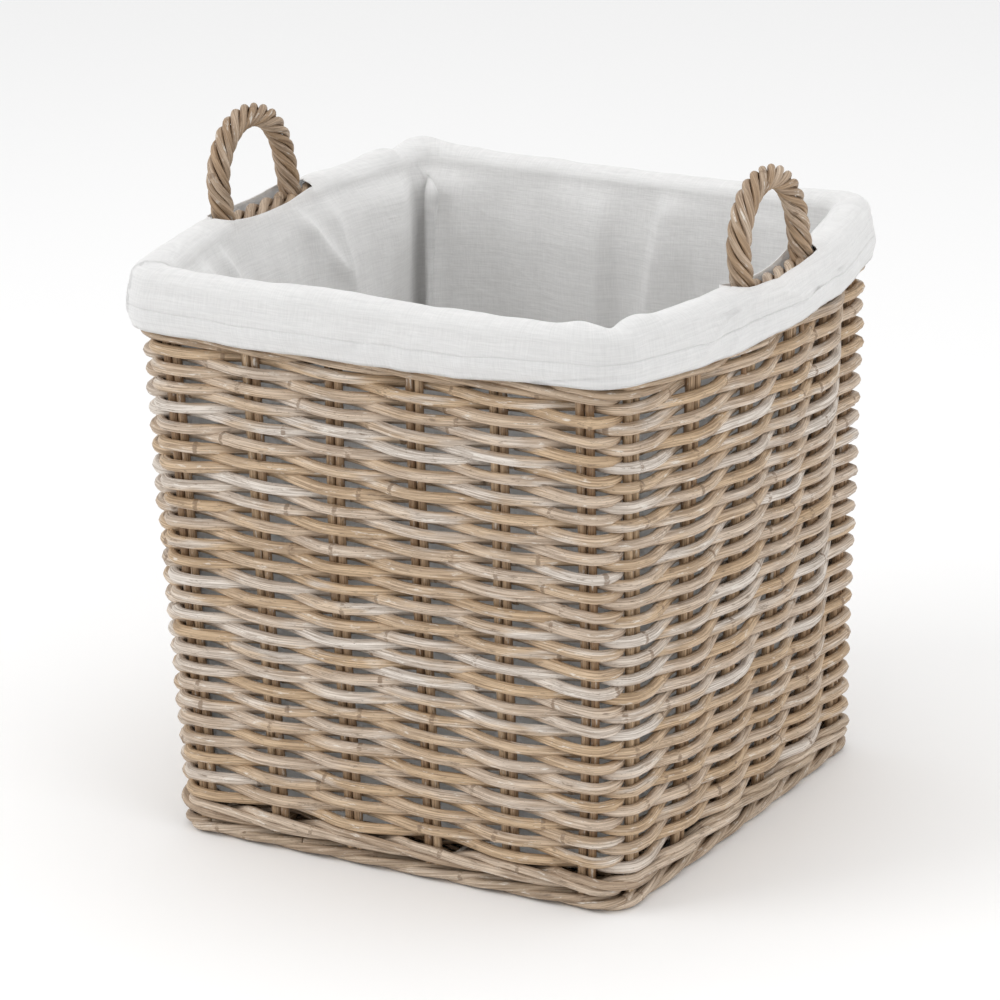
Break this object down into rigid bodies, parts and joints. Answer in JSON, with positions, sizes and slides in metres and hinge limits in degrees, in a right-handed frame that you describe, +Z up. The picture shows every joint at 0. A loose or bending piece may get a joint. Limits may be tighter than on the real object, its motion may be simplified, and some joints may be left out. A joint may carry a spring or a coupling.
{
  "type": "log basket",
  "caption": "Square tapering wicker log basket with twisted rod handles on opposite sides and a lift-out cloth liner folded over the rim.",
  "frame": {"origin": "middle of the foot, on the surface that the basket stands on", "axes": "+Z up, +X to the right handle, -Y out of the front side, which has no handle"},
  "size_m": [0.544, 0.4918, 0.5925],
  "materials": {
    "weave": "weathered matt rattan",
    "stakes": "browner matt rattan",
    "handle_rope": "weathered matt rattan",
    "handle_core": "matt cane",
    "base": "matt rattan",
    "cloth": "plain off-white cotton",
    "hem": "plain off-white cotton, doubled and stitched"
  },
  "bodies": {
    "basket": {"foot_border": "weave", "foot_wale": "weave", "weave_front": "weave", "weave_right": "weave", "weave_back": "weave", "weave_left": "weave", "top_wale": "weave", "rim_border": "weave", "stakes_front": "stakes", "stakes_right": "stakes", "stakes_back": "stakes", "stakes_left": "stakes", "base_weave": "base", "base_sticks": "base", "handle_rope_left": "handle_rope", "handle_rope_right": "handle_rope", "handle_core_left": "handle_core", "handle_core_right": "handle_core"},
    "liner": {"liner_floor": "cloth", "liner_wall_front": "cloth", "liner_wall_right": "cloth", "liner_wall_back": "cloth", "liner_wall_left": "cloth", "liner_rim_front": "cloth", "liner_rim_right": "cloth", "liner_rim_back": "cloth", "liner_rim_left": "cloth", "liner_cuff_front": "cloth", "liner_cuff_right": "cloth", "liner_cuff_back": "cloth", "liner_cuff_left": "cloth", "liner_hem": "hem"}
  },
  "joints": [
    {"name": "liner_lift", "type": "slide", "parent": "basket", "child": "liner", "axis": [0, 0, 1], "range_m": [0, 0.58]}
  ]
}
